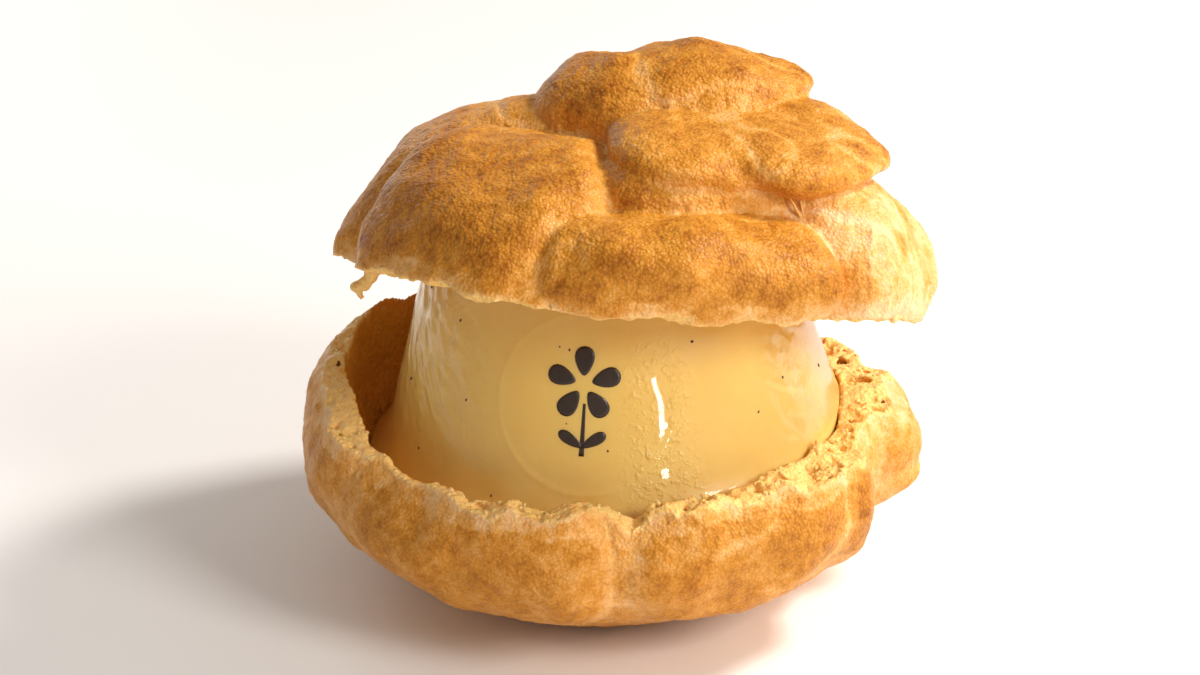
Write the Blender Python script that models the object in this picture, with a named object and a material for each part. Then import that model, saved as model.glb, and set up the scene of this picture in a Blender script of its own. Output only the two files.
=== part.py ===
"""A filled choux bun: a torn choux cup, a moulded custard pudding standing in it, and the bun's crown.

Each piece is a closed solid. Its shape is a signed distance, in millimetres, made of swollen lobes that
run into each other with creases between them, as choux paste does in the oven. The distance is sampled
on a grid and meshed. The origin is under the middle of the cup, on the surface that it stands on.
+Z is up and -Y is the front.
"""

import math
from functools import partial
from typing import NamedTuple

import bpy
import numpy as np
import openvdb
from mathutils import Matrix, Vector

MM = 0.001

# Driving dimensions, in millimetres.
GAP = 0.5  # clear space between the pudding and the pastry round it
CUP_RADIUS = 43.5
CUP_FLOOR = 4.5  # pastry under the pudding
CUP_BOWL = (40.0, 40.0, 22.5)  # half sizes of the bowl under the cup's lobes
CUP_BOWL_HEIGHT = 20.5
CUP_HOLLOW = (35.4, 37.4, 22.0)
CUP_HOLLOW_PLACE = (-2.8, 0.6)
CROWN_RADIUS = 41.5
CROWN_HEIGHT = 34.0
CROWN_CORE = (30.0, 30.0, 22.0)
CROWN_HOLLOW = (36.6, 36.0, 12.0)
CROWN_HOLLOW_HEIGHT = -2.0
PUDDING_TOP = 58.0

# The crown sits over the pudding, opened towards the front.
CROWN_PLACE = Vector((2.9, 0.0, 43.7))
CROWN_TILT_BACK = math.radians(16)
CROWN_TILT_RIGHT = math.radians(7)

GRID_STEP = 0.8
CREASE_ROUNDING = 1.1
# Unevenness is how far a surface is moved, over which wavelength.
PASTE_UNEVENNESS = (1.5, 15.0)
PASTE_FINE_UNEVENNESS = (0.6, 5.5)
HOLLOW_UNEVENNESS = (1.1, 10.5)
EDGE_UNEVENNESS = (0.8, 4.5)
PUDDING_WALL_SLOPE = 0.94  # turns a level distance into one across the pudding's leaning wall
TRIANGLES = {"choux_crown": 5200, "choux_cup": 4600, "custard_pudding": 1500}


class Lobe(NamedTuple):
    """One swelling of the paste, an ellipse swept round the bun's axis, in degrees and millimetres."""

    azimuth: float  # of its middle: 0 is +X, and -90 is the front
    span: float  # how far round it is swept
    reach: float  # from the axis to the middle of its section
    height: float
    thick: float  # half its section, outwards
    tall: float  # half its section, upwards
    end: float  # how far it swells past each end of its sweep
    lean: float = 0.0  # how far its outer side dips
    rise: float = 0.0  # how much higher its section is at the end with the larger azimuth


CROWN_LOBES = {
    "front_skirt": Lobe(-82, 50, 28.5, 4.5, 13.5, 9.0, 6.5, 0, 0.6),
    "left": Lobe(-134, 27, 21.0, -3.0, 23.0, 23.2, 15),
    "left_back": Lobe(162, 24, 9.0, -6.0, 34.5, 31.0, 17),
    "recess": Lobe(-64, 62, 17.5, 14.0, 13.0, 7.0, 9),
    "middle_tier": Lobe(-54, 56, 20.5, 22.2, 10.4, 4.5, 10, 20, 1.5),
    "middle_lip": Lobe(-38, 24, 22.5, 22.8, 13.8, 4.5, 10, 14, 1.5),
    "top_tier": Lobe(0, 0, 6.3, 24.0, 16.0, 10.8, 15),
    "top_left": Lobe(180, 0, 3.0, 22.4, 12.8, 10.2, 14),
    "top_lip": Lobe(-6, 0, 12.0, 30.0, 9.4, 3.4, 9),
    "right_skirt": Lobe(-20, 40, 20.0, 5.0, 21.5, 17.0, 10),
    "back_right": Lobe(40, 38, 15.0, 0.0, 26.0, 23.5, 15),
    "back": Lobe(88, 26, 15.0, 0.0, 27.0, 24.0, 15),
    "back_left": Lobe(128, 18, 14.0, -1.0, 28.0, 24.5, 14),
}
# The height of the crown's torn edge at each azimuth, in its own frame.
CROWN_EDGE = {-180: -1.2, -135: 0.2, -100: -1.2, -75: -0.2, -50: 1.3, -32: 1.6, -22: 0.4, 90: 0.0, 180: -1.2}

CUP_LOBES = {
    "front_left": Lobe(-124, 44, 26.5, 19.5, 17.0, 13.5, 13),
    "front_right": Lobe(-54, 38, 26.5, 19.5, 16.5, 13.5, 13),
    "right_ear": Lobe(4, 14, 30.0, 20.0, 14.0, 10.5, 10),
    "ear_foot": Lobe(1, 8, 33.0, 14.8, 10.6, 4.0, 8),
    "back_right": Lobe(45, 30, 26.5, 18.5, 16.5, 13.5, 13),
    "back": Lobe(92, 36, 26.5, 20.5, 17.0, 16.0, 14),
    "back_left": Lobe(145, 36, 27.5, 21.0, 15.5, 16.5, 12),
    "left": Lobe(-172, 34, 28.0, 21.0, 15.5, 16.0, 12),
}
# The height of the cup's torn edge at each azimuth, with one notch at the front.
CUP_EDGE = {
    -180: 32.5,
    -165: 29.5,
    -140: 26.0,
    -90: 26.6,
    -40: 26.9,
    0: 26.6,
    40: 24.5,
    90: 30.0,
    145: 34.0,
    180: 32.5,
}
NOTCH_PLACE = 2.5
NOTCH_WIDTH = 2.6
NOTCH_DEPTH = 2.4

# The pudding's radius at each height: a moulded cone on a foot that has slumped out to the cup.
PUDDING_PROFILE = {0.0: 43.0, 16.0: 41.0, 18.5: 37.0, 21.5: 34.4, 25.0: 32.4, 43.0: 27.1, 60.0: 20.9}
# How far its middle has slumped to the right, by height.
PUDDING_SLUMP = {15.0: 2.6, 27.0: 0.5, 45.0: -0.5, 60.0: -1.1}
PUDDING_EDGE_ROUNDING = 2.5
PROFILE_SMOOTHING = 4.0  # the height over which the profile's corners are averaged


def value_noise(points, wavelength, seed):
    """Smooth noise from -1 to 1 at each point: random values on a lattice, blended between its corners."""
    side = 32
    lattice = np.random.default_rng(seed).uniform(-1, 1, (side, side, side)).astype(np.float32)
    cells, blends = [], []
    for axis in points:
        place = axis / wavelength
        cell = np.floor(place)
        part = (place - cell).astype(np.float32)
        cells.append(cell.astype(np.int32))
        blends.append(part * part * (3 - 2 * part))
    total = 0.0
    for corner in np.ndindex(2, 2, 2):
        weight = 1.0
        for blend, high in zip(blends, corner):
            weight = weight * (blend if high else 1 - blend)
        x, y, z = (np.mod(cell + high, side) for cell, high in zip(cells, corner))
        total = total + weight * lattice[x, y, z]
    return total


def warped(points, amount, wavelength, seed):
    """The points, each moved by up to amount, which makes smooth shapes uneven."""
    return tuple(axis + amount * value_noise(points, wavelength, seed + i) for i, axis in enumerate(points))


def ellipsoid(points, centre, radii):
    offsets = [axis - middle for axis, middle in zip(points, centre)]
    near = np.sqrt(sum((offset / radius) ** 2 for offset, radius in zip(offsets, radii)))
    steep = np.sqrt(sum((offset / radius**2) ** 2 for offset, radius in zip(offsets, radii)))
    return near * (near - 1) / np.maximum(steep, 1e-6)


def lobe_distance(points, lobe):
    """The distance to a lobe, worked out in its own section: outwards, along its sweep and upwards."""
    x, y, z = points
    turn = np.arctan2(y, x) - math.radians(lobe.azimuth)
    turn = np.mod(turn + math.pi, 2 * math.pi) - math.pi
    past_end = np.sign(turn) * np.maximum(np.abs(turn) - math.radians(lobe.span / 2), 0)
    radius = np.hypot(x, y)
    out = radius * np.cos(past_end) - lobe.reach
    along = radius * np.sin(past_end)
    swept = np.clip(turn / math.radians(max(lobe.span, 1) / 2), -1, 1)
    up = z - lobe.height - lobe.rise * swept
    lean = math.radians(lobe.lean)
    section = (
        out * math.cos(lean) - up * math.sin(lean),
        along,
        out * math.sin(lean) + up * math.cos(lean),
    )
    return ellipsoid(section, (0, 0, 0), (lobe.thick, lobe.end, lobe.tall))


def smooth_union(a, b, rounding=CREASE_ROUNDING):
    share = np.clip(0.5 + (b - a) / (2 * rounding), 0, 1)
    return b + (a - b) * share - rounding * share * (1 - share)


def swollen(points, core, lobes):
    """The core and its lobes as one uneven body."""
    points = warped(points, *PASTE_UNEVENNESS, seed=3)
    points = warped(points, *PASTE_FINE_UNEVENNESS, seed=11)
    body = core(points)
    for lobe in lobes.values():
        body = smooth_union(body, lobe_distance(points, lobe))
    return body


def smooth_table(value, table):
    """The table's value, with its corners averaged away."""
    shifts = np.linspace(-0.5, 0.5, 7) * PROFILE_SMOOTHING
    return sum(np.interp(value + shift, list(table), list(table.values())) for shift in shifts) / len(shifts)


def pudding_body(points):
    """A turned profile with a rounded top edge."""
    x, y, z = points
    x = x - smooth_table(z, PUDDING_SLUMP)
    side = PUDDING_WALL_SLOPE * (np.hypot(x, y) - smooth_table(z, PUDDING_PROFILE))
    top = z - PUDDING_TOP
    rounding = PUDDING_EDGE_ROUNDING
    corner = np.hypot(np.maximum(side + rounding, 0), np.maximum(top + rounding, 0)) - rounding
    return np.where(np.minimum(side, top) > -rounding, corner, np.maximum(side, top))


def cup_hollow(points):
    """Rounded below its middle, and straight and open above it."""
    x, y, z = warped(points, *HOLLOW_UNEVENNESS, seed=23)
    middle = CUP_FLOOR + CUP_HOLLOW[2]
    return ellipsoid((x, y, np.minimum(z, middle)), (*CUP_HOLLOW_PLACE, middle), CUP_HOLLOW)


def above_edge(points, heights, seed):
    """How far a point is above a torn edge, whose height wanders round the bun."""
    x, y, z = points
    edge = np.interp(np.degrees(np.arctan2(y, x)), list(heights), list(heights.values()))
    amount, wavelength = EDGE_UNEVENNESS
    return z - edge + amount * value_noise(points, wavelength, seed)


def cup(points):
    x, y, z = points
    bowl = partial(ellipsoid, centre=(0, 0, CUP_BOWL_HEIGHT), radii=CUP_BOWL)
    notch = NOTCH_DEPTH * np.exp(-(((x - NOTCH_PLACE) / NOTCH_WIDTH) ** 2)) * (y < 0)
    torn = above_edge(points, CUP_EDGE, seed=31) + notch
    return np.maximum.reduce([swollen(points, bowl, CUP_LOBES), -z, torn, -cup_hollow(points)])


def pudding(points):
    return np.maximum(pudding_body(points), cup_hollow(points) + GAP)


def crown(points):
    """In the crown's own frame, whose torn edge is near Z = 0."""
    core = partial(ellipsoid, centre=(0, 0, 0), radii=CROWN_CORE)
    torn = -above_edge(points, CROWN_EDGE, seed=47)
    uneven = warped(points, *HOLLOW_UNEVENNESS, seed=53)
    hollow = ellipsoid(uneven, (0, 0, CROWN_HOLLOW_HEIGHT), CROWN_HOLLOW)
    place = crown_matrix()
    in_bun = [place[i][3] + sum(place[i][j] * points[j] for j in range(3)) for i in range(3)]
    pocket = pudding_body(in_bun) - GAP
    return np.maximum.reduce([swollen(points, core, CROWN_LOBES), torn, -hollow, -pocket])


def crown_matrix():
    """The crown's place in the bun's frame, in millimetres."""
    tilt = Matrix.Rotation(CROWN_TILT_RIGHT, 4, "Y") @ Matrix.Rotation(-CROWN_TILT_BACK, 4, "X")
    return Matrix.Translation(CROWN_PLACE) @ tilt


def meshed(name, distance, low, high):
    """A mesh, in metres, of where the distance passes through zero."""
    axes = [np.arange(a, b + GRID_STEP, GRID_STEP, dtype=np.float32) for a, b in zip(low, high)]
    samples = distance(np.meshgrid(*axes, indexing="ij"))
    grid = openvdb.FloatGrid(float(GRID_STEP))
    grid.copyFromArray(samples.astype(np.float32))
    vertices, quads = grid.convertToQuads(0.0)
    vertices = (vertices * GRID_STEP + np.array(low)) * MM
    mesh = bpy.data.meshes.new(name)
    mesh.from_pydata(vertices.tolist(), [], quads.tolist())
    return mesh


def keep_largest(mesh):
    """Drops loose scraps, leaving the piece with the most vertices."""
    faces = [list(polygon.vertices) for polygon in mesh.polygons]
    parent = list(range(len(mesh.vertices)))

    def root(i):
        while parent[i] != i:
            parent[i] = parent[parent[i]]
            i = parent[i]
        return i

    for face in faces:
        for vertex in face[1:]:
            parent[root(vertex)] = root(face[0])
    roots = np.array([root(i) for i in range(len(parent))])
    largest = np.bincount(roots).argmax()
    kept = np.flatnonzero(roots == largest)
    index = {int(old): new for new, old in enumerate(kept)}
    points = [mesh.vertices[int(i)].co.copy() for i in kept]
    faces = [[index[i] for i in face] for face in faces if roots[face[0]] == largest]
    mesh.clear_geometry()
    mesh.from_pydata(points, [], faces)


def add_piece(name, distance, low, high, colour, roughness):
    """One node: the meshed shape, thinned to its number of triangles, with its own material."""
    mesh = meshed(name, distance, low, high)
    keep_largest(mesh)
    mesh.shade_smooth()
    piece = bpy.data.objects.new(name, mesh)
    bpy.context.scene.collection.objects.link(piece)
    thin = piece.modifiers.new("thin", "DECIMATE")
    thin.ratio = TRIANGLES[name] / (2 * len(mesh.polygons))
    thin.use_collapse_triangulate = True
    material = bpy.data.materials.new(name)
    material.use_nodes = True
    shader = material.node_tree.nodes["Principled BSDF"]
    shader.inputs["Base Color"].default_value = (*colour, 1)
    shader.inputs["Roughness"].default_value = roughness
    shader.inputs["Metallic"].default_value = 0
    mesh.materials.append(material)
    return piece


def main():
    for leftover in list(bpy.data.objects):
        bpy.data.objects.remove(leftover)
    wide = CUP_RADIUS + 5
    high = max(CUP_EDGE.values()) + 3
    add_piece("choux_cup", cup, (-wide, -wide, -1), (wide, wide, high), (0.62, 0.30, 0.08), 0.6)
    high = PUDDING_TOP + 2
    add_piece("custard_pudding", pudding, (-wide, -wide, 2), (wide, wide, high), (0.75, 0.52, 0.22), 0.25)
    wide = CROWN_RADIUS + 5
    high = CROWN_HEIGHT + 6
    lid = add_piece("choux_crown", crown, (-wide, -wide, -4), (wide, wide, high), (0.60, 0.28, 0.07), 0.6)
    place = crown_matrix()
    place.translation *= MM
    lid.matrix_world = place


main()
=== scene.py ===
"""The looks of a filled choux bun: browned and torn pastry, and a wet custard pudding.

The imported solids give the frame. Each is replaced by a finer mesh of the same form, sampled from the same
signed distances, with the crust's relief, the crumb of the torn edges and the pudding's wrinkled skin.
Shapes are in millimetres until they become meshes, in metres.
"""

import math
from functools import partial
from typing import Callable, NamedTuple

import bmesh
import bpy
import numpy as np
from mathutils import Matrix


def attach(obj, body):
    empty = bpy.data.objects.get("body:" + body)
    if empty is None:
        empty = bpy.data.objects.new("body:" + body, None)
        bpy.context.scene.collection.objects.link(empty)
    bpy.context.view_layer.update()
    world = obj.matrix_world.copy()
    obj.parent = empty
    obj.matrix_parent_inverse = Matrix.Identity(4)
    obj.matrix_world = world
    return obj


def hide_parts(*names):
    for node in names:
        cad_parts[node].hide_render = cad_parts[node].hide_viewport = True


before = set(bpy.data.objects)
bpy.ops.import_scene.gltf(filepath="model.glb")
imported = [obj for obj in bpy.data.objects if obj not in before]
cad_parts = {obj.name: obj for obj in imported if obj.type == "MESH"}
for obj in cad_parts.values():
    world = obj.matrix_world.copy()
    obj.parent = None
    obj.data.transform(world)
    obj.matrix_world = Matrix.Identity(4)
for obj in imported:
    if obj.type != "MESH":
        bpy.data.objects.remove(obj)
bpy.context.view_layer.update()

import openvdb
from mathutils import Matrix, Vector
from mathutils.bvhtree import BVHTree

MM = 0.001

# The bun's driving dimensions, as in the solids.
CUP_RADIUS = 43.5
CUP_FLOOR = 4.5
CUP_BOWL = (40.0, 40.0, 22.5)
CUP_BOWL_HEIGHT = 20.5
CUP_HOLLOW = (35.4, 37.4, 22.0)
CUP_HOLLOW_PLACE = (-2.8, 0.6)
CROWN_RADIUS = 41.5
CROWN_HEIGHT = 34.0
CROWN_CORE = (30.0, 30.0, 22.0)
CROWN_HOLLOW = (36.6, 36.0, 12.0)
CROWN_HOLLOW_HEIGHT = -2.0
PUDDING_TOP = 58.0
CROWN_PLACE = Vector((2.9, 0.0, 43.7))
CROWN_TILT_BACK = math.radians(16)
CROWN_TILT_RIGHT = math.radians(7)
CREASE_ROUNDING = 1.1
PASTE_UNEVENNESS = (1.5, 15.0)
PASTE_FINE_UNEVENNESS = (0.6, 5.5)
HOLLOW_UNEVENNESS = (1.1, 10.5)
EDGE_UNEVENNESS = (0.8, 4.5)
PUDDING_WALL_SLOPE = 0.94

CRUST_THICKNESS = 1.1
CREASE_DEPTH = 0.3  # how much deeper the creases between lobes are cut
CREASE_WIDTH = 2.0  # how far a crease reaches up the lobes beside it
BAKE_BLEND = 1.7  # the distance over which one lobe's bake changes to the next one's
PALE_BORDER = 1.4  # how far the pale dough reaches from a tear

# The fine meshes.
VOXEL = 0.42
COARSE = 4  # fine voxels to a coarse one
BAND = 2.4  # how far from the surface the fine samples reach
MARGIN_BELOW = 1.0  # how far the sampled box reaches under a piece's lowest place
MARGIN_ROUND = 5.0  # how far it reaches past a piece's radius
CUP_MARGIN_ABOVE = 3.0
CROWN_MARGIN_ABOVE = 6.0
CROWN_SAMPLED_FROM = -8.0
PUDDING_SAMPLED_FROM = 2.0
PUDDING_MARGIN_ABOVE = 2.0
TRIANGLES = {"baked_crown": 190000, "baked_cup": 190000, "wet_pudding": 150000}

# The camera stands where the photograph's did.
CAMERA_AIM = Vector((-0.0019, 0.0, 0.0352))
CAMERA_DISTANCE = 0.480
CAMERA_ELEVATION = math.radians(23)
FRAME_WIDTH = 0.171  # what the picture spans, side to side, at the aim
SENSOR_WIDTH = 36.0

# The stage. A light's numbers are its azimuth, elevation, distance, size, power and colour.
FLOOR_REACH = 2  # how far the floor reaches each way
FLOOR_COLOUR = (0.93, 0.91, 0.90, 1)
SKY_COLOUR = (1.0, 0.93, 0.85, 1)
SKY_STRENGTH = 0.36
LIGHT_AIM = Vector((0, 0, 0.035))
LIGHTS = {
    "key": (14, 45, 0.6, 0.12, 3.6, (1.0, 0.96, 0.91)),
    "window": (-40, 30, 0.7, 0.24, 3.1, (1.0, 0.97, 0.92)),
    "low_front": (-66, 8, 0.6, 0.03, 0.10, (1.0, 0.98, 0.95)),
    "low_right": (32, 12, 0.6, 0.35, 0.3, (1.0, 0.98, 0.95)),
    "low_left": (118, 15, 0.6, 0.30, 0.6, (1.0, 0.98, 0.95)),
}


class Lobe(NamedTuple):
    """One swelling of the paste, an ellipse swept round the bun's axis, in degrees and millimetres."""

    azimuth: float
    span: float
    reach: float
    height: float
    thick: float
    tall: float
    end: float
    lean: float = 0.0
    rise: float = 0.0


CROWN_LOBES = {
    "front_skirt": Lobe(-82, 50, 28.5, 4.5, 13.5, 9.0, 6.5, 0, 0.6),
    "left": Lobe(-134, 27, 21.0, -3.0, 23.0, 23.2, 15),
    "left_back": Lobe(162, 24, 9.0, -6.0, 34.5, 31.0, 17),
    "recess": Lobe(-64, 62, 17.5, 14.0, 13.0, 7.0, 9),
    "middle_tier": Lobe(-54, 56, 20.5, 22.2, 10.4, 4.5, 10, 20, 1.5),
    "middle_lip": Lobe(-38, 24, 22.5, 22.8, 13.8, 4.5, 10, 14, 1.5),
    "top_tier": Lobe(0, 0, 6.3, 24.0, 16.0, 10.8, 15),
    "top_left": Lobe(180, 0, 3.0, 22.4, 12.8, 10.2, 14),
    "top_lip": Lobe(-6, 0, 12.0, 30.0, 9.4, 3.4, 9),
    "right_skirt": Lobe(-20, 40, 20.0, 5.0, 21.5, 17.0, 10),
    "back_right": Lobe(40, 38, 15.0, 0.0, 26.0, 23.5, 15),
    "back": Lobe(88, 26, 15.0, 0.0, 27.0, 24.0, 15),
    "back_left": Lobe(128, 18, 14.0, -1.0, 28.0, 24.5, 14),
}
CROWN_EDGE = {-180: -1.2, -135: 0.2, -100: -1.2, -75: -0.2, -50: 1.3, -32: 1.6, -22: 0.4, 90: 0.0, 180: -1.2}

CUP_LOBES = {
    "front_left": Lobe(-124, 44, 26.5, 19.5, 17.0, 13.5, 13),
    "front_right": Lobe(-54, 38, 26.5, 19.5, 16.5, 13.5, 13),
    "right_ear": Lobe(4, 14, 30.0, 20.0, 14.0, 10.5, 10),
    "ear_foot": Lobe(1, 8, 33.0, 14.8, 10.6, 4.0, 8),
    "back_right": Lobe(45, 30, 26.5, 18.5, 16.5, 13.5, 13),
    "back": Lobe(92, 36, 26.5, 20.5, 17.0, 16.0, 14),
    "back_left": Lobe(145, 36, 27.5, 21.0, 15.5, 16.5, 12),
    "left": Lobe(-172, 34, 28.0, 21.0, 15.5, 16.0, 12),
}
CUP_EDGE = {
    -180: 32.5,
    -165: 29.5,
    -140: 26.0,
    -90: 26.6,
    -40: 26.9,
    0: 26.6,
    40: 24.5,
    90: 30.0,
    145: 34.0,
    180: 32.5,
}
NOTCH_PLACE = 2.5
NOTCH_WIDTH = 2.6
NOTCH_DEPTH = 2.4

# How brown each lobe baked, from 0, pale, to 1.
CROWN_BAKE = {
    "core": 0.1,
    "front_skirt": 0.66,
    "left": 0.68,
    "left_back": 0.58,
    "recess": 0.62,
    "middle_tier": 0.66,
    "middle_lip": 0.70,
    "top_tier": 0.68,
    "top_left": 0.7,
    "top_lip": 0.78,
    "right_skirt": 0.16,
    "back_right": 0.5,
    "back": 0.6,
    "back_left": 0.55,
}
CUP_BAKE = {
    "core": 0.55,
    "front_left": 0.6,
    "front_right": 0.68,
    "right_ear": 0.45,
    "ear_foot": 0.5,
    "back_right": 0.5,
    "back": 0.55,
    "back_left": 0.5,
    "left": 0.5,
}

STRETCHED = ("right_skirt", "recess")  # lobes whose skin was pulled as the bun opened
# Lobes that have no crease to the lobe they are part of.
ONE_MASS = {
    "top_left": "top_tier",
    "top_lip": "top_tier",
    "middle_lip": "middle_tier",
    "ear_foot": "right_ear",
}

PUDDING_PROFILE = {0.0: 43.0, 16.0: 41.0, 18.5: 37.0, 21.5: 34.4, 25.0: 32.4, 43.0: 27.1, 60.0: 20.9}
PUDDING_SLUMP = {15.0: 2.6, 27.0: 0.5, 45.0: -0.5, 60.0: -1.1}
PUDDING_EDGE_ROUNDING = 2.5
PROFILE_SMOOTHING = 4.0  # the height over which the profile's corners are averaged
PUDDING_MEAN_RADIUS = 28

# Where the pudding's skin is crumpled and where it is wet: azimuths and half widths in degrees, and
# the heights over which each fades in or out.
CRUMPLED_RIGHT = (-32, 13)
CRUMPLED_LEFT = (205, 22)
CRUMPLED_FROM = (22, 34)
WET = (-78, 9)
WET_FROM = (20, 25)
WET_UNTIL = (40, 50)
WRINKLE_DEPTH = 0.18

# Strands of dough across the recess under the middle tier. Their points are the azimuth, radius and
# height in the crown's frame.
STRANDS = [
    ((-57, 31.6, 19.4), (-56, 31.8, 16.6), (-52, 32.8, 13.2)),
    ((-54, 31.8, 19.4), (-53, 32.2, 16.2), (-52, 33.0, 13.2)),
    ((-47, 32.8, 19.4), (-48, 32.6, 16.6), (-47, 33.2, 13.4)),
    ((-43, 33.2, 19.6), (-44, 33.0, 16.6), (-46, 33.4, 13.4)),
]
STRAND_RADIUS = 0.26

# Vanilla specks on the pudding's front, as azimuth and height on its wall, and radius.
SPECKS = [
    (-140.8, 44.8, 0.26),
    (-105.0, 44.7, 0.18),
    (-102.0, 44.4, 0.20),
    (-133.5, 35.0, 0.24),
    (-149.8, 25.4, 0.24),
    (-122.4, 23.7, 0.26),
    (-113.8, 23.3, 0.40),
    (-102.7, 34.8, 0.16),
    (-92.1, 31.5, 0.18),
    (-65.4, 44.8, 0.24),
    (-36.4, 36.6, 0.24),
    (-48.9, 33.7, 0.22),
]
HIDDEN_SPECKS = 40

# The round film on the pudding's front: its middle's azimuth and height, and its radius and edge.
FILM_PLACE = (-97.8, 37.4)
FILM_RADIUS = 12.3
FILM_EDGE = 0.35
FILM_EDGE_HEIGHT = 0.09

# The flower printed on the film.
FLOWER_PLACE = (-0.2, 2.8)
FLOWER_EYE = 1.2
PETALS = 5
PETAL = (4.0, 3.2)  # length and breadth
STEM_TOP = 2.6
STEM_LENGTH = 8.6
STEM_WIDTH = 0.36
LEAF = (3.8, 1.9)
LEAF_HEIGHT = 1.2  # above the stem's foot
LEAF_WAYS = (32, 148)
INK_HEIGHT = 0.05
INK_RINGS = (0.4, 0.75, 1.0)  # shares of an outline at which the ink is laid on the pudding

CRUMBS = 380
CRUMB_SIZE = (0.18, 0.55)  # the least and greatest radius

# A torn scrap that hangs under the crown's left end, as points of the crown's frame, with their radii.
SCRAP = [
    ((-35.8, -17.8, 0.4), 1.4),
    ((-36.8, -16.6, -1.4), 0.75),
    ((-37.6, -15.9, -2.9), 0.85),
    ((-38.7, -15.6, -3.4), 0.3),
    ((-37.5, -15.4, -4.8), 0.35),
]


# Noise and distances

def value_noise(points, wavelength, seed):
    """Smooth noise from -1 to 1 at each point: random values on a lattice, blended between its corners."""
    side = 32
    lattice = np.random.default_rng(seed).uniform(-1, 1, (side, side, side)).astype(np.float32)
    cells, blends = [], []
    for axis in points:
        place = axis / wavelength
        cell = np.floor(place)
        part = (place - cell).astype(np.float32)
        cells.append(cell.astype(np.int32))
        blends.append(part * part * (3 - 2 * part))
    total = 0.0
    for corner in np.ndindex(2, 2, 2):
        weight = 1.0
        for blend, high in zip(blends, corner):
            weight = weight * (blend if high else 1 - blend)
        x, y, z = (np.mod(cell + high, side) for cell, high in zip(cells, corner))
        total = total + weight * lattice[x, y, z]
    return total


def warped(points, amount, wavelength, seed):
    return tuple(axis + amount * value_noise(points, wavelength, seed + i) for i, axis in enumerate(points))


def cell_walls(points, wavelength, seed):
    """1 on thin winding walls and 0 in the cells between them, as in a crumb."""
    points = warped(points, 0.5 * wavelength, 1.1 * wavelength, seed + 50)
    nearness = np.abs(value_noise(points, wavelength, seed)) * 2.2
    return np.clip(1 - nearness, 0, 1)


def smooth_step(value, low, high):
    share = np.clip((value - low) / (high - low), 0, 1)
    return share * share * (3 - 2 * share)


def ellipsoid(points, centre, radii):
    offsets = [axis - middle for axis, middle in zip(points, centre)]
    near = np.sqrt(sum((offset / radius) ** 2 for offset, radius in zip(offsets, radii)))
    steep = np.sqrt(sum((offset / radius**2) ** 2 for offset, radius in zip(offsets, radii)))
    return near * (near - 1) / np.maximum(steep, 1e-6)


def lobe_distance(points, lobe):
    """The distance to a lobe, worked out in its own section: outwards, along its sweep and upwards."""
    x, y, z = points
    turn = np.arctan2(y, x) - math.radians(lobe.azimuth)
    turn = np.mod(turn + math.pi, 2 * math.pi) - math.pi
    past_end = np.sign(turn) * np.maximum(np.abs(turn) - math.radians(lobe.span / 2), 0)
    radius = np.hypot(x, y)
    out = radius * np.cos(past_end) - lobe.reach
    along = radius * np.sin(past_end)
    swept = np.clip(turn / math.radians(max(lobe.span, 1) / 2), -1, 1)
    up = z - lobe.height - lobe.rise * swept
    lean = math.radians(lobe.lean)
    section = (
        out * math.cos(lean) - up * math.sin(lean),
        along,
        out * math.sin(lean) + up * math.cos(lean),
    )
    return ellipsoid(section, (0, 0, 0), (lobe.thick, lobe.end, lobe.tall))


def smooth_union(a, b, rounding=CREASE_ROUNDING):
    share = np.clip(0.5 + (b - a) / (2 * rounding), 0, 1)
    return b + (a - b) * share - rounding * share * (1 - share)


def uneven_paste(points):
    points = warped(points, *PASTE_UNEVENNESS, seed=3)
    return warped(points, *PASTE_FINE_UNEVENNESS, seed=11)


def swollen(points, core, lobes):
    """The core and its lobes as one uneven body."""
    points = uneven_paste(points)
    body = core(points)
    for lobe in lobes.values():
        body = smooth_union(body, lobe_distance(points, lobe))
    return body


def capsule(points, start, end, radius):
    """A thin strand from start to end."""
    start, end = np.array(start), np.array(end)
    way = end - start
    offsets = [axis - a for axis, a in zip(points, start)]
    share = sum(offset * w for offset, w in zip(offsets, way)) / np.dot(way, way)
    share = np.clip(share, 0, 1)
    return np.sqrt(sum((offset - share * w) ** 2 for offset, w in zip(offsets, way))) - radius


def above_edge(points, heights, seed):
    """How far a point is above a torn edge, whose height wanders round the bun."""
    x, y, z = points
    edge = np.interp(np.degrees(np.arctan2(y, x)), list(heights), list(heights.values()))
    amount, wavelength = EDGE_UNEVENNESS
    return z - edge + amount * value_noise(points, wavelength, seed)


# The three shapes

def smooth_table(value, table):
    """The table's value, with its corners averaged away."""
    shifts = np.linspace(-0.5, 0.5, 7) * PROFILE_SMOOTHING
    return sum(np.interp(value + shift, list(table), list(table.values())) for shift in shifts) / len(shifts)


def pudding_body(points):
    """A turned profile with a rounded top edge."""
    x, y, z = points
    x = x - smooth_table(z, PUDDING_SLUMP)
    side = PUDDING_WALL_SLOPE * (np.hypot(x, y) - smooth_table(z, PUDDING_PROFILE))
    top = z - PUDDING_TOP
    rounding = PUDDING_EDGE_ROUNDING
    corner = np.hypot(np.maximum(side + rounding, 0), np.maximum(top + rounding, 0)) - rounding
    return np.where(np.minimum(side, top) > -rounding, corner, np.maximum(side, top))


def cup_hollow(points):
    """Rounded below its middle, and straight and open above it."""
    x, y, z = warped(points, *HOLLOW_UNEVENNESS, seed=23)
    middle = CUP_FLOOR + CUP_HOLLOW[2]
    return ellipsoid((x, y, np.minimum(z, middle)), (*CUP_HOLLOW_PLACE, middle), CUP_HOLLOW)


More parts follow.
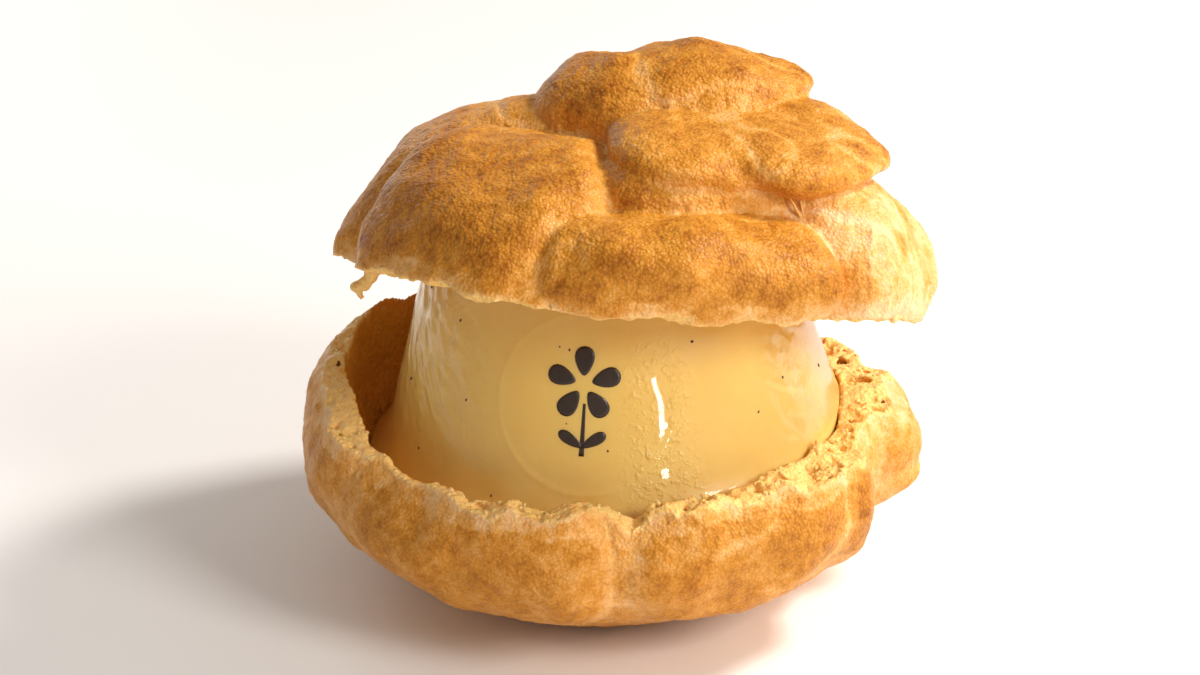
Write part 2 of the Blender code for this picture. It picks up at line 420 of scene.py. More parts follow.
def pores(points, spacing, seed):
    """The distance to round bubbles of uneven size, one in each cell of a jittered lattice."""
    side = 16
    draws = np.random.default_rng(seed).uniform(-1, 1, (side, side, side, 4)).astype(np.float32)
    cells = [np.floor(axis / spacing).astype(np.int32) for axis in points]
    nearest = np.full(points[0].shape, BAND, dtype=np.float32)
    for step in np.ndindex(3, 3, 3):
        around = [cell + shift - 1 for cell, shift in zip(cells, step)]
        draw = draws[tuple(np.mod(cell, side) for cell in around)]
        centre = [(cell + 0.5 + 0.4 * draw[..., i]) * spacing for i, cell in enumerate(around)]
        away = np.sqrt(sum((axis - middle) ** 2 for axis, middle in zip(points, centre)))
        nearest = np.minimum(nearest, away - (0.36 + 0.16 * draw[..., 3]) * spacing)
    return nearest


def crumbled(points, torn, crust, seed):
    """The torn face, made fluffy, with a few bubbles of the crumb open along it behind the closed crust."""
    torn = torn + 0.45 * value_noise(points, 2.0, seed) + 0.3 * value_noise(points, 1.0, seed + 1)
    opened = (np.abs(torn + 0.9) < 1.5) & (value_noise(points, 7.0, seed + 4) > -0.15)
    near = [axis[opened] for axis in points]
    bubbles = np.minimum(pores(near, 3.4, seed + 2) + 0.35, pores(near, 1.7, seed + 3) + 0.12)
    torn[opened] = np.maximum(torn[opened], -np.maximum(bubbles, crust[opened] + CRUST_THICKNESS))
    return torn


def cup_parts(points):
    """The distances to the crust of the cup, to its torn rim and to its hollow."""
    x, y, z = points
    bowl = partial(ellipsoid, centre=(0, 0, CUP_BOWL_HEIGHT), radii=CUP_BOWL)
    notch = NOTCH_DEPTH * np.exp(-(((x - NOTCH_PLACE) / NOTCH_WIDTH) ** 2)) * (y < 0)
    crust = np.maximum(swollen(points, bowl, CUP_LOBES), -z)
    torn = crumbled(points, above_edge(points, CUP_EDGE, seed=31) + notch, crust, 61)
    return crust, torn, -cup_hollow(points) + 0.3 * value_noise(points, 2.6, 67)


def cup(points):
    return np.maximum.reduce(cup_parts(points))


def pudding(points):
    return np.maximum(pudding_body(points), cup_hollow(points) + 0.1)


def crown_parts(points):
    """As cup_parts, in the crown's own frame."""
    core = partial(ellipsoid, centre=(0, 0, 0), radii=CROWN_CORE)
    crust = swollen(points, core, CROWN_LOBES)
    torn = crumbled(points, -above_edge(points, CROWN_EDGE, seed=47), crust, 71)
    uneven = warped(points, *HOLLOW_UNEVENNESS, seed=53)
    hollow = ellipsoid(uneven, (0, 0, CROWN_HOLLOW_HEIGHT), CROWN_HOLLOW)
    place = crown_matrix()
    in_bun = [place[i][3] + sum(place[i][j] * points[j] for j in range(3)) for i in range(3)]
    pocket = pudding_body(in_bun) - 0.1
    return crust, torn, np.maximum(-hollow + 0.4 * value_noise(points, 2.6, 73), -pocket)


def scrap(points):
    """The torn scrap: strands from point to point, roughened."""
    strands = [
        capsule(points, start, end, (radius + next_radius) / 2)
        for (start, radius), (end, next_radius) in zip(SCRAP, SCRAP[1:])
    ]
    return np.minimum.reduce(strands) + 0.4 * value_noise(points, 1.3, 79)


def crown(points):
    return smooth_union(np.maximum.reduce(crown_parts(points)), scrap(points), 0.5)


def crown_matrix():
    """The crown's place in the bun's frame, in millimetres."""
    tilt = Matrix.Rotation(CROWN_TILT_RIGHT, 4, "Y") @ Matrix.Rotation(-CROWN_TILT_BACK, 4, "X")
    return Matrix.Translation(CROWN_PLACE) @ tilt


# Meshes

def sampled(distance, low, high):
    """The distance on a fine grid. A coarse pass finds the shell in which the fine pass works it out."""
    counts = [math.ceil((b - a) / (VOXEL * COARSE)) for a, b in zip(low, high)]
    coarse_axes = [a + VOXEL * COARSE * np.arange(n + 1, dtype=np.float32) for a, n in zip(low, counts)]
    fine_axes = [a + VOXEL * np.arange(n * COARSE + 1, dtype=np.float32) for a, n in zip(low, counts)]
    coarse = distance(np.meshgrid(*coarse_axes, indexing="ij"))
    nearest = [np.rint(np.arange(n * COARSE + 1) / COARSE).astype(int) for n in counts]
    rough = coarse[np.ix_(*nearest)]
    fine = np.where(rough > 0, BAND, -BAND).astype(np.float32)
    shell = np.abs(rough) < BAND
    points = [axis[index] for axis, index in zip(fine_axes, np.nonzero(shell))]
    fine[shell] = np.clip(distance(points), -BAND, BAND)
    return fine


def skin(distance, low, high):
    """Vertices, in millimetres, and quads of the largest closed skin where the distance is zero."""
    grid = openvdb.FloatGrid(BAND)
    grid.copyFromArray(sampled(distance, low, high))
    vertices, quads = grid.convertToQuads(0.0)
    return largest_part(vertices * VOXEL + np.array(low), quads)


def largest_part(vertices, quads):
    """Drops loose scraps: each vertex takes the lowest label among its neighbours until none changes."""
    labels = np.arange(len(vertices))
    while True:
        lowest = labels[quads].min(axis=1)
        spread = labels.copy()
        np.minimum.at(spread, quads.ravel(), np.repeat(lowest, 4))
        spread = spread[spread]
        if np.array_equal(spread, labels):
            break
        labels = spread
    kept = labels == np.bincount(labels).argmax()
    index = np.cumsum(kept) - 1
    return vertices[kept], index[quads[kept[quads[:, 0]]]]


def normals_of(vertices, quads):
    """The normal at each vertex, from the faces round it."""
    a, b, c, d = (vertices[quads[:, i]] for i in range(4))
    faces = np.repeat(np.cross(c - a, d - b), 4, axis=0)
    total = np.stack([np.bincount(quads.ravel(), faces[:, i], len(vertices)) for i in range(3)], axis=1)
    return total / np.maximum(np.linalg.norm(total, axis=1, keepdims=True), 1e-9)


def thinned(name, vertices, quads):
    """Fewer triangles where the skin is smooth, as vertices and triangles."""
    rough = bpy.data.meshes.new("rough")
    rough.from_pydata(vertices.tolist(), [], quads.tolist())
    carrier = bpy.data.objects.new("rough", rough)
    bpy.context.scene.collection.objects.link(carrier)
    thin = carrier.modifiers.new("thin", "DECIMATE")
    thin.ratio = min(1, TRIANGLES[name] / (2 * len(quads)))
    thin.use_collapse_triangulate = True
    mesh = carrier.evaluated_get(bpy.context.evaluated_depsgraph_get()).to_mesh()
    points = np.empty(3 * len(mesh.vertices), dtype=np.float32)
    mesh.vertices.foreach_get("co", points)
    corners = np.empty(3 * len(mesh.polygons), dtype=np.int32)
    mesh.polygons.foreach_get("vertices", corners)
    bpy.data.objects.remove(carrier)
    bpy.data.meshes.remove(rough)
    return points.reshape(-1, 3), corners.reshape(-1, 3).tolist()


def add_mesh(name, vertices, faces, material, **attributes):
    """A smooth-shaded object from millimetre vertices, with one number at each vertex for each attribute."""
    mesh = bpy.data.meshes.new(name)
    mesh.from_pydata((np.asarray(vertices) * MM).tolist(), [], faces)
    mesh.shade_smooth()
    for key, values in attributes.items():
        layer = mesh.attributes.new(key, "FLOAT", "POINT")
        layer.data.foreach_set("value", np.asarray(values, dtype=np.float32))
    mesh.materials.append(material)
    piece = bpy.data.objects.new(name, mesh)
    bpy.context.scene.collection.objects.link(piece)
    return piece


def joined(shapes):
    """Vertices and faces of many small closed shapes as one mesh."""
    vertices, faces, start = [], [], 0
    for points, corners in shapes:
        vertices.append(points)
        faces += [[corner + start for corner in face] for face in corners]
        start += len(points)
    return np.concatenate(vertices), faces


def tube(line, radius, sides=6):
    """A round strand along a line of points, thick at its ends and thinner between them."""
    line = np.array(line, dtype=float)
    ways = np.gradient(line, axis=0)
    rings = []
    for i, (point, way) in enumerate(zip(line, ways)):
        turn = Vector(way).to_track_quat("Z", "Y")
        share = 2 * i / (len(line) - 1) - 1
        wide = radius * (0.7 + 1.1 * share**4)
        angles = np.linspace(0, math.tau, sides, endpoint=False)
        round_it = [Vector((wide * math.cos(a), wide * math.sin(a), 0)) for a in angles]
        rings.append([point + np.array(turn @ corner) for corner in round_it])
    count = len(rings)
    faces = [
        [i * sides + j, i * sides + (j + 1) % sides, (i + 1) * sides + (j + 1) % sides, (i + 1) * sides + j]
        for i in range(count - 1)
        for j in range(sides)
    ]
    ends = [list(range(sides))[::-1], list(range((count - 1) * sides, count * sides))]
    return np.concatenate(rings), faces + ends


def smooth_line(points, steps=6):
    """A smooth curve through the points."""
    points = [np.array(point, dtype=float) for point in points]
    points = [2 * points[0] - points[1], *points, 2 * points[-1] - points[-2]]
    line = []
    for a, b, c, d in zip(points, points[1:], points[2:], points[3:]):
        for t in np.linspace(0, 1, steps, endpoint=False):
            bend = 2 * a - 5 * b + 4 * c - d
            line.append(0.5 * (2 * b + (c - a) * t + bend * t * t + (3 * b - a - 3 * c + d) * t**3))
    return [*line, points[-2]]


def lumps(places, normals, sizes, flatness, sink, seed):
    """Uneven little lumps on a surface: one at each place, with its size, sunk by a share of it."""
    draws = np.random.default_rng(seed)
    ball = bmesh.new()
    bmesh.ops.create_icosphere(ball, subdivisions=1, radius=1)
    corners = np.array([vertex.co for vertex in ball.verts])
    faces = [[vertex.index for vertex in face.verts] for face in ball.faces]
    ball.free()
    shapes = []
    for place, normal, size in zip(places, normals, sizes):
        turn = Vector(normal).to_track_quat("Z", "Y").to_matrix()
        spin = Matrix.Rotation(draws.uniform(0, math.tau), 3, "Z")
        stretch = Matrix.Diagonal((draws.uniform(0.7, 1.3), draws.uniform(0.7, 1.1), flatness))
        lump = corners * draws.uniform(0.75, 1.2, (len(corners), 1))
        lump = lump @ np.array(turn @ spin @ stretch).T
        shapes.append((place - np.array(normal) * size * sink + lump * size, faces))
    return joined(shapes)


# What the pastry looks like at each point

def lobe_shares(points, core, lobes):
    """How much each lobe owns a point, and how deep in a crease the point is."""
    points = uneven_paste(points)
    distances = np.stack([core(points)] + [lobe_distance(points, lobe) for lobe in lobes.values()])
    masses = ["core"] + [ONE_MASS.get(name, name) for name in lobes]
    rows = [[i for i, mass in enumerate(masses) if mass == one] for one in dict.fromkeys(masses)]
    nearest, second = np.sort([distances[row].min(axis=0) for row in rows], axis=0)[:2]
    crease = np.exp(-(second - nearest) / CREASE_WIDTH)
    shares = np.exp(-(distances - nearest) / BAKE_BLEND)
    return shares / shares.sum(axis=0), crease


class Pastry(NamedTuple):
    """What a half of the bun is made of."""

    shape: Callable
    parts: Callable
    core: Callable
    lobes: dict
    bakes: dict


def surface_kinds(half, points):
    """Numbers from 0 to 1 at each point that say what the surface is there."""
    crust, torn, inside = half.parts(points)
    shares, crease = lobe_shares(points, half.core, half.lobes)
    names = list(half.bakes)
    stretched = shares[[names.index(name) for name in STRETCHED if name in names]].sum(axis=0)
    near_tear = np.exp(np.minimum(torn + 0.8 * value_noise(points, 3.0, 97), 0) / PALE_BORDER)
    cracks = cell_walls(points, 8.5, 95) ** 3 * smooth_step(value_noise(points, 16.0, 96), 0.0, 0.4)
    patches = smooth_step(value_noise(points, 5.5, 98), 0.0, 0.6)
    return {
        "bake": np.array(list(half.bakes.values())) @ shares + 0.32 * stretched * patches,
        "crease": crease,
        "pale": np.maximum(near_tear, 0.75 * cracks),
        "stretched": stretched,
        "torn": smooth_step(np.maximum(torn, inside) - crust, -0.5, 0.4),
        "moist": smooth_step(inside - torn, -0.3, 0.3),
    }


def crust_relief(points, kinds):
    """How far the surface stands out: blisters, winding wrinkles and fine grain, and a rough crumb."""
    x, y, z = points
    blisters = 0.26 * value_noise(points, 5.2, 81) + 0.10 * value_noise(points, 2.6, 82)
    wrinkles = 0.10 * (cell_walls(points, 2.2, 83) - 0.35)
    grain = 0.09 * value_noise(points, 0.95, 87)
    pulled = 0.34 * (cell_walls((1.3 * x, 1.3 * y, 0.6 * z), 2.2, 89) - 0.3)
    drawn_out = np.maximum(kinds["crease"] ** 2, kinds["stretched"])
    relief = (1 - drawn_out) * (blisters + wrinkles) + drawn_out * pulled + grain
    relief = relief - CREASE_DEPTH * kinds["crease"] ** 3 - 0.25 * kinds["pale"] * (1 - kinds["torn"])
    crumb = 0.2 * value_noise(points, 0.9, 91) * (1 - 0.7 * kinds["moist"])
    return relief * (1 - kinds["torn"]) + crumb * kinds["torn"]


def pastry(name, half, low, high, material):
    """A piece of the bun, with the attributes that its material reads."""
    vertices, quads = skin(half.shape, low, high)
    points = tuple(vertices.T.astype(np.float32))
    relief = crust_relief(points, surface_kinds(half, points))
    vertices = vertices + normals_of(vertices, quads) * relief[:, None]
    vertices[:, 2] = np.maximum(vertices[:, 2], low[2] + MARGIN_BELOW)
    vertices, triangles = thinned(name, vertices, quads)
    return add_mesh(name, vertices, triangles, material, **surface_kinds(half, tuple(vertices.T)))


# Materials

class Nodes:
    """Short ways to add shader nodes to a material."""

    def __init__(self, name):
        self.material = bpy.data.materials.new(name)
        self.material.use_nodes = True
        self.tree = self.material.node_tree
        self.shader = self.tree.nodes["Principled BSDF"]
        coordinates = self.tree.nodes.new("ShaderNodeTexCoord")
        self.place = self.add("ShaderNodeVectorMath", operation="SCALE", inputs={"Scale": 1 / MM})
        self.link(coordinates.outputs["Object"], self.place.inputs[0])

    def add(self, kind, inputs=(), **settings):
        node = self.tree.nodes.new(kind)
        for key, value in settings.items():
            setattr(node, key, value)
        for key, value in dict(inputs).items():
            node.inputs[key].default_value = value
        return node

    def link(self, source, target):
        self.tree.links.new(source, target)

    def number(self, operation, a, b):
        """Arithmetic on two sockets or numbers."""
        node = self.add("ShaderNodeMath", operation=operation)
        for socket, value in zip(node.inputs, (a, b)):
            if isinstance(value, (int, float)):
                socket.default_value = value
            else:
                self.link(value, socket)
        return node.outputs[0]

    def attribute(self, name):
        return self.add("ShaderNodeAttribute", attribute_name=name).outputs["Fac"]

    def noise(self, wavelength, detail=3.0):
        """Noise from 0 to 1, with its wavelength in millimetres."""
        inputs = {"Scale": 1 / wavelength, "Detail": detail, "Roughness": 0.55}
        node = self.add("ShaderNodeTexNoise", inputs=inputs)
        self.link(self.place.outputs[0], node.inputs["Vector"])
        return node.outputs["Fac"]

    def cells(self, wavelength):
        """How far a point is from the middle of its grain, as a share of the wavelength."""
        inputs = {"Scale": 1 / wavelength, "Smoothness": 0.25}
        node = self.add("ShaderNodeTexVoronoi", feature="SMOOTH_F1", inputs=inputs)
        self.link(self.place.outputs[0], node.inputs["Vector"])
        return node.outputs["Distance"]

    def ramp(self, factor, stops):
        node = self.add("ShaderNodeValToRGB")
        elements = node.color_ramp.elements
        while len(elements) < len(stops):
            elements.new(0.5)
        for element, (position, colour) in zip(elements, stops.items()):
            element.position = position
            element.color = (*colour, 1)
        self.link(factor, node.inputs[0])
        return node.outputs["Color"]

    def blend(self, factor, a, b):
        node = self.add("ShaderNodeMix", data_type="RGBA")
        for socket, value in zip((node.inputs[0], node.inputs[6], node.inputs[7]), (factor, a, b)):
            if isinstance(value, bpy.types.NodeSocket):
                self.link(value, socket)
            else:
                socket.default_value = value if isinstance(value, float) else (*value, 1)
        return node.outputs[2]

    def bump(self, height, depth):
        """Small relief, its depth in millimetres."""
        node = self.add("ShaderNodeBump", inputs={"Strength": 1.0, "Distance": depth * MM})
        self.link(height, node.inputs["Height"])
        self.link(node.outputs[0], self.shader.inputs["Normal"])

    def finish(self, values):
        """Sets what is the same over the whole surface."""
        for key, value in values.items():
            self.shader.inputs[key].default_value = value


# Linear colours of choux paste, from unbaked to dark brown.
BAKED = {
    0.0: (0.84, 0.54, 0.27),
    0.28: (0.77, 0.39, 0.11),
    0.55: (0.62, 0.255, 0.028),
    0.8: (0.43, 0.15, 0.013),
    1.0: (0.25, 0.075, 0.007),
}
# The torn crumb's colour, and a darker copy of it as it looks in shade, which is painted shade.
CRUMB = (0.95, 0.70, 0.30)
CRUMB_PAINTED_SHADE = (0.87, 0.45, 0.09)
SOAKED_CRUMB = (0.80, 0.36, 0.035)
CUSTARD_PALE = (0.83, 0.57, 0.165)
CUSTARD_DEEP = (0.77, 0.49, 0.105)
VANILLA = (0.045, 0.022, 0.010)
INK = (0.030, 0.017, 0.010)

CRUST_FINISH = {
    "Roughness": 0.38,
    "Specular IOR Level": 0.16,
    "Subsurface Weight": 0.25,
    "Subsurface Radius": (1.0, 0.45, 0.12),
    "Subsurface Scale": 1.6 * MM,
}
CUSTARD_FINISH = {
    "Roughness": 0.34,
    "Specular IOR Level": 0.35,
    "Subsurface Weight": 0.5,
    "Subsurface Radius": (1.0, 0.6, 0.22),
    "Subsurface Scale": 4 * MM,
    "Coat Weight": 0.6,
    "Coat Roughness": 0.035,
}


def choux_material(name):
    """Browned, grainy crust, and the crumb where it is torn."""
    nodes = Nodes(name)
    coarse = nodes.number("SUBTRACT", nodes.noise(4.6, 4), 0.5)
    middle = nodes.number("SUBTRACT", nodes.noise(1.7, 4), 0.5)
    grains = nodes.number("SUBTRACT", nodes.cells(0.45), 0.45)
    paler = nodes.number("MULTIPLY", nodes.attribute("crease"), 0.30)
    paler = nodes.number("MAXIMUM", paler, nodes.number("MULTIPLY", nodes.attribute("pale"), 0.55))
    bake = nodes.number("SUBTRACT", nodes.attribute("bake"), paler)
    bake = nodes.number("ADD", bake, nodes.number("MULTIPLY", coarse, 0.80))
    bake = nodes.number("ADD", bake, nodes.number("MULTIPLY", middle, 0.65))
    bake = nodes.number("ADD", bake, nodes.number("MULTIPLY", grains, 0.30))
    colour = nodes.ramp(bake, BAKED)
    # The crumb wanders at random between its own colour and the painted shade of it.
    crumb = nodes.blend(nodes.noise(0.8, 3), CRUMB_PAINTED_SHADE, CRUMB)
    crumb = nodes.blend(nodes.number("MULTIPLY", nodes.attribute("moist"), 0.85), crumb, SOAKED_CRUMB)
    colour = nodes.blend(nodes.attribute("torn"), colour, crumb)
    nodes.link(colour, nodes.shader.inputs["Base Color"])
    nodes.finish(CRUST_FINISH)
    fluff = nodes.number("MULTIPLY", nodes.cells(0.9), nodes.attribute("torn"))
    height = nodes.number("SUBTRACT", nodes.noise(0.8, 2), nodes.number("MULTIPLY", grains, 0.5))
    nodes.bump(nodes.number("SUBTRACT", height, fluff), 0.26)
    return nodes.material


def pudding_material():
    """Wet custard, lit a little from within."""
    nodes = Nodes("wet_custard")
    colour = nodes.blend(nodes.noise(9.0, 3), CUSTARD_DEEP, CUSTARD_PALE)
    nodes.link(colour, nodes.shader.inputs["Base Color"])
    nodes.finish(CUSTARD_FINISH)
    crumpled = nodes.number("MULTIPLY", nodes.noise(0.8, 2), nodes.attribute("crumpled"))
    drops = nodes.number("MAXIMUM", nodes.number("SUBTRACT", nodes.noise(1.0, 2), 0.48), 0.0)
    drops = nodes.number("MULTIPLY", drops, nodes.number("MULTIPLY", nodes.attribute("drops"), 3.2))
    height = nodes.number("ADD", nodes.number("MULTIPLY", nodes.noise(1.6, 3), 0.2), drops)
    nodes.bump(nodes.number("ADD", height, nodes.number("MULTIPLY", crumpled, 0.6)), 0.26)
    return nodes.material


def mottled_material(name, colour, shade, roughness):
    """A small thing's colour, uneven between two near tones; for the crumbs and the dough strands, one tone
    is the crumb's painted shade.
    """
    nodes = Nodes(name)
    nodes.link(nodes.blend(nodes.noise(0.9, 2), shade, colour), nodes.shader.inputs["Base Color"])
    nodes.shader.inputs["Roughness"].default_value = roughness
    nodes.bump(nodes.noise(0.3, 2), 0.08)
    return nodes.material


# The pieces

def add_cup():
    wide = CUP_RADIUS + MARGIN_ROUND
    high = max(CUP_EDGE.values()) + CUP_MARGIN_ABOVE
    bowl = partial(ellipsoid, centre=(0, 0, CUP_BOWL_HEIGHT), radii=CUP_BOWL)
    half = Pastry(cup, cup_parts, bowl, CUP_LOBES, CUP_BAKE)
    corners = (-wide, -wide, -MARGIN_BELOW), (wide, wide, high)
    piece = pastry("baked_cup", half, *corners, choux_material("cup_crust"))
    stand_in(piece, "choux_cup")
    return piece


def add_crown():
    wide = CROWN_RADIUS + MARGIN_ROUND
    core = partial(ellipsoid, centre=(0, 0, 0), radii=CROWN_CORE)
    half = Pastry(crown, crown_parts, core, CROWN_LOBES, CROWN_BAKE)
    corners = (-wide, -wide, CROWN_SAMPLED_FROM), (wide, wide, CROWN_HEIGHT + CROWN_MARGIN_ABOVE)
    piece = pastry("baked_crown", half, *corners, choux_material("crown_crust"))
    move_to_crown(piece)
    stand_in(piece, "choux_crown")
    return piece


def move_to_crown(piece):
    """Moves a mesh made in the crown's frame to its place in the bun."""
    place = crown_matrix()
    place.translation *= MM
    piece.data.transform(place)


def round_axis(azimuth, radius, height):
    """The point at an azimuth in degrees, a radius and a height."""
    turn = math.radians(azimuth)
    return radius * math.cos(turn), radius * math.sin(turn), height


def add_strands():
    """Thin strands of dough, drawn out between the middle tier and the front skirt."""
    tubes = [tube(smooth_line([round_axis(*point) for point in strand]), STRAND_RADIUS) for strand in STRANDS]
    # The strands take the crumb's painted shade, mottled with a crust tone.
    material = mottled_material("drawn_dough", CRUMB_PAINTED_SHADE, BAKED[0.28], 0.4)
    piece = add_mesh("dough_strands", *joined(tubes), material)
    move_to_crown(piece)
    belong(piece)


def wall_place(azimuth, height):
    """Where the pudding's wall is at an azimuth in degrees and a height, and its normal."""
    turn = math.radians(azimuth)
    radius = float(smooth_table(height, PUDDING_PROFILE))
    above, below = (float(smooth_table(height + step, PUDDING_PROFILE)) for step in (1, -1))
    shift = float(smooth_table(height, PUDDING_SLUMP))
    place = np.array((shift + radius * math.cos(turn), radius * math.sin(turn), height))
    normal = Vector((math.cos(turn), math.sin(turn), -(above - below) / 2)).normalized()
    return place, np.array(normal)


def off_film(points):
    """How far points lie from the middle of the round film, in a straight line."""
    middle, _ = wall_place(*FILM_PLACE)
    return np.sqrt(sum((axis - centre) ** 2 for axis, centre in zip(points, middle)))


def zone(azimuth, middle, width, sharpness=2):
    """1 at the middle azimuth, fading to 0 past a width from it."""
    return np.exp(-(((azimuth - middle) / width) ** sharpness))


def pudding_zones(points):
    """From 0 to 1: where the pudding's skin is crumpled, at its two sides, and where drops stand on it."""
    x, y, z = points
    azimuth = np.degrees(np.arctan2(y, x))
    sides = zone(azimuth, *CRUMPLED_RIGHT) + zone(np.mod(azimuth, 360), *CRUMPLED_LEFT)
    drops = zone(azimuth, *WET, sharpness=4) * smooth_step(z, *WET_FROM) * (1 - smooth_step(z, *WET_UNTIL))
    return sides * smooth_step(z, *CRUMPLED_FROM), drops


def pudding_relief(points):
    """The pudding's skin: slanted wrinkles, a light unevenness and the film's edge."""
    x, y, z = points
    crumpled, _ = pudding_zones(points)
    around = np.arctan2(y, x) * PUDDING_MEAN_RADIUS
    wrinkles = value_noise((around + 0.9 * z, 0 * x, 0.55 * z - 0.3 * around), 1.3, 101)
    wrinkles = wrinkles + value_noise((around + 0.5 * z, 0 * x, 0.3 * z), 2.6, 102)
    edge = np.exp(-(((off_film(points) - FILM_RADIUS) / FILM_EDGE) ** 2)) * (y < 0)
    edge = edge * smooth_step(value_noise(points, 8.0, 109), -0.2, 0.4)
    uneven = 0.12 * value_noise(points, 7.0, 103) + 0.02 * value_noise(points, 2.2, 107)
    return WRINKLE_DEPTH * wrinkles * crumpled + FILM_EDGE_HEIGHT * edge + uneven


def add_pudding():
    wide = CUP_RADIUS + MARGIN_ROUND
    corners = (-wide, -wide, PUDDING_SAMPLED_FROM), (wide, wide, PUDDING_TOP + PUDDING_MARGIN_ABOVE)
    vertices, quads = skin(pudding, *corners)
    relief = pudding_relief(tuple(vertices.T.astype(np.float32)))
    vertices = vertices + normals_of(vertices, quads) * relief[:, None]
    vertices, triangles = thinned("wet_pudding", vertices, quads)
    crumpled, drops = pudding_zones(tuple(vertices.T))
    material = pudding_material()
    piece = add_mesh("wet_pudding", vertices, triangles, material, crumpled=crumpled, drops=drops)
    stand_in(piece, "custard_pudding")
    return piece


def tree_of(piece):
    """A tree for finding the nearest point of a piece, in metres."""
    mesh = piece.data
    corners = [tuple(polygon.vertices) for polygon in mesh.polygons]
    return BVHTree.FromPolygons([vertex.co for vertex in mesh.vertices], corners)


def on_skin(tree, place):
    """The point of a skin nearest to a place, and its normal, in millimetres."""
    found, normal, _, _ = tree.find_nearest(Vector(place) * MM)
    return np.array(found) / MM, np.array(normal)


def add_specks(tree):
    """Vanilla specks in the pudding: the ones that show in front, and seeded ones elsewhere."""
    draws = np.random.default_rng(211)
    spots = list(SPECKS)
    for _ in range(HIDDEN_SPECKS):
        spots.append((draws.uniform(-20, 200), draws.uniform(20, 54), draws.uniform(0.14, 0.34)))
    laid = [on_skin(tree, wall_place(azimuth, height)[0]) for azimuth, height, _ in spots]
    places, normals = zip(*laid)
    shapes = lumps(places, normals, [size for _, _, size in spots], 0.5, 0.1, 213)
    piece = add_mesh("vanilla_specks", *shapes, mottled_material("vanilla", VANILLA, VANILLA, 0.35))
    belong(piece)


def film_point(tree, across, up):
    """A point of the film: across and up from its middle in millimetres, laid on the pudding."""
    middle, normal = wall_place(*FILM_PLACE)
    side = np.cross((0, 0, 1), normal)
    side = side / np.linalg.norm(side)
    return on_skin(tree, middle + side * across + np.cross(normal, side) * up)


def blot(tree, outline):
    """A thin patch of ink that follows the pudding inside an outline on the film."""
    outline = np.array(outline)
    middle = outline.mean(axis=0)
    count = len(outline)
    tops, unders = [], []
    for share in INK_RINGS:
        for x, y in middle + (outline - middle) * share:
            found, out = film_point(tree, x, y)
            tops.append(found + out * INK_HEIGHT)
            unders.append(found - out * INK_HEIGHT)
    sides = [(i, (i + 1) % count) for i in range(count)]
    under, last = len(tops), len(tops) - count
    faces = [list(range(count)), [under + i for i in reversed(range(count))]]
    for ring in range(0, last, count):
        for i, j in sides:
            a, b, c, d = ring + i, ring + j, ring + count + i, ring + count + j
            faces += [[a, c, d, b], [under + b, under + d, under + c, under + a]]
    faces += [[last + i, under + last + i, under + last + j, last + j] for i, j in sides]
    return np.array(tops + unders), faces


def drop_outline(start, way, length, breadth):
    """A closed outline, narrow at its start and round at its end."""
    turns = np.linspace(0, math.tau, 20, endpoint=False)
    out = 0.5 * length * (1 - np.cos(turns))
    aside = 0.5 * breadth * np.sin(turns) * (0.5 + 0.6 * out / length)
    turn = math.radians(way)
    x = start[0] + out * math.cos(turn) - aside * math.sin(turn)
    y = start[1] + out * math.sin(turn) + aside * math.cos(turn)
    return list(zip(x, y))


def add_flower(tree):
    """A plain flower printed on the film: five petals round an open eye, a stem and two leaves."""
    x, y = FLOWER_PLACE
    ways = [90 + 360 / PETALS * i for i in range(PETALS)]
    turns = [math.radians(way) for way in ways]
    starts = [(x + FLOWER_EYE * math.cos(turn), y + FLOWER_EYE * math.sin(turn)) for turn in turns]
    outlines = [drop_outline(start, way, *PETAL) for start, way in zip(starts, ways)]
    left, right = x - STEM_WIDTH, x + STEM_WIDTH
    foot, top = y - FLOWER_EYE - STEM_LENGTH, y - STEM_TOP
    outlines.append([(left, foot), (right, foot), (right, top), (x, top)])
    outlines += [drop_outline((x, foot + LEAF_HEIGHT), way, *LEAF) for way in LEAF_WAYS]
    shapes = [blot(tree, outline) for outline in outlines]
    piece = add_mesh("printed_flower", *joined(shapes), mottled_material("ink", INK, INK, 0.3))
    belong(piece)


def torn_places(piece, count, seed):
    """Seeded places on the torn, upward-facing rim of a piece, in millimetres, with their normals."""
    mesh = piece.data
    size = len(mesh.vertices)
    torn, moist = np.empty(size, dtype=np.float32), np.empty(size, dtype=np.float32)
    mesh.attributes["torn"].data.foreach_get("value", torn)
    mesh.attributes["moist"].data.foreach_get("value", moist)
    places = np.array([vertex.co for vertex in mesh.vertices]) / MM
    normals = np.array([vertex.normal for vertex in mesh.vertices])
    chosen = np.flatnonzero((torn > 0.5) & (moist < 0.5) & (normals[:, 2] > 0.1))
    chosen = np.random.default_rng(seed).choice(chosen, count, replace=False)
    return places[chosen], normals[chosen]


def add_crumbs(cup_piece):
    """Loose crumbs on the cup's torn rim."""
    places, normals = torn_places(cup_piece, CRUMBS, 221)
    sizes = np.random.default_rng(223).uniform(*CRUMB_SIZE, CRUMBS)
    shapes = lumps(places, normals, sizes, 0.8, 0.3, 227)
    # The loose crumbs are mottled between the crumb's colour and its painted shade.
    material = mottled_material("crumb", CRUMB, CRUMB_PAINTED_SHADE, 0.7)
    material.node_tree.nodes["Principled BSDF"].inputs["Subsurface Weight"].default_value = 0.3
    material.node_tree.nodes["Principled BSDF"].inputs["Subsurface Scale"].default_value = 0.6 * MM
    belong(add_mesh("loose_crumbs", *shapes, material))


def belong(piece):
    """Fixes a piece to the bun."""
    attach(piece, "root")


def stand_in(piece, node):
    """Stands the piece in for its node."""
    belong(piece)
    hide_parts(node)


# The stage

def look_at(obj, place, aim):
    obj.location = place
    obj.rotation_mode = "QUATERNION"
    obj.rotation_quaternion = (Vector(place) - Vector(aim)).to_track_quat("Z", "Y")


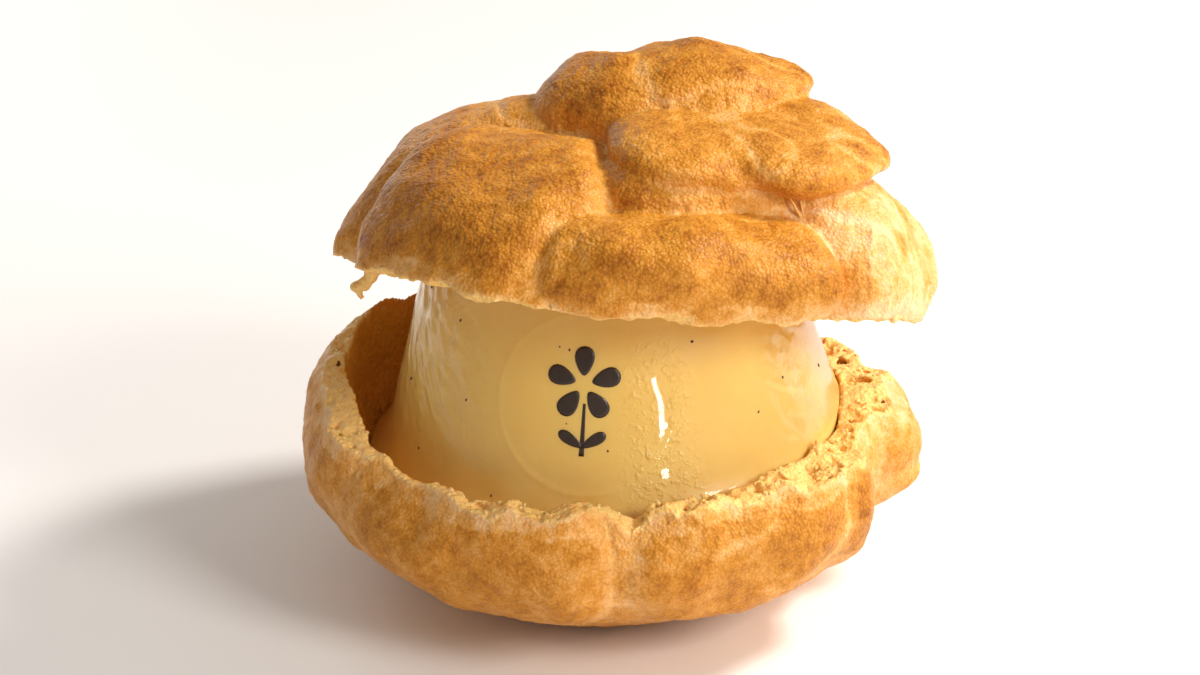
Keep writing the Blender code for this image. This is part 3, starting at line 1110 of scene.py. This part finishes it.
def from_angles(distance, azimuth, elevation):
    a, e = math.radians(azimuth), math.radians(elevation)
    return Vector((math.cos(e) * math.cos(a), math.cos(e) * math.sin(a), math.sin(e))) * distance


def add_camera():
    data = bpy.data.cameras.new("camera")
    camera = bpy.data.objects.new("camera", data)
    bpy.context.scene.collection.objects.link(camera)
    place = CAMERA_AIM + from_angles(CAMERA_DISTANCE, -90, math.degrees(CAMERA_ELEVATION))
    look_at(camera, place, CAMERA_AIM)
    data.sensor_width = SENSOR_WIDTH
    data.lens = SENSOR_WIDTH * CAMERA_DISTANCE / FRAME_WIDTH
    data.clip_start = 0.01
    bpy.context.scene.camera = camera


def add_light(name, azimuth, elevation, distance, size, power, colour):
    data = bpy.data.lights.new(name, "AREA")
    data.size = size
    data.energy = power
    data.color = colour
    light = bpy.data.objects.new(name, data)
    bpy.context.scene.collection.objects.link(light)
    look_at(light, LIGHT_AIM + from_angles(distance, azimuth, elevation), LIGHT_AIM)


def add_stage():
    floor = bpy.data.meshes.new("floor")
    far = FLOOR_REACH
    floor.from_pydata([(-far, -far, 0), (far, -far, 0), (far, far, 0), (-far, far, 0)], [], [(0, 1, 2, 3)])
    floor_piece = bpy.data.objects.new("floor", floor)
    bpy.context.scene.collection.objects.link(floor_piece)
    material = bpy.data.materials.new("floor")
    material.use_nodes = True
    material.node_tree.nodes["Principled BSDF"].inputs["Base Color"].default_value = FLOOR_COLOUR
    material.node_tree.nodes["Principled BSDF"].inputs["Roughness"].default_value = 0.5
    floor.materials.append(material)
    world = bpy.data.worlds.new("studio")
    world.use_nodes = True
    world.node_tree.nodes["Background"].inputs["Color"].default_value = SKY_COLOUR
    world.node_tree.nodes["Background"].inputs["Strength"].default_value = SKY_STRENGTH
    bpy.context.scene.world = world
    for name, numbers in LIGHTS.items():
        add_light(name, *numbers)
    bpy.context.scene.view_settings.view_transform = "Standard"


def main():
    add_camera()
    add_stage()
    add_crumbs(add_cup())
    add_crown()
    add_strands()
    skin_tree = tree_of(add_pudding())
    add_specks(skin_tree)
    add_flower(skin_tree)


main()
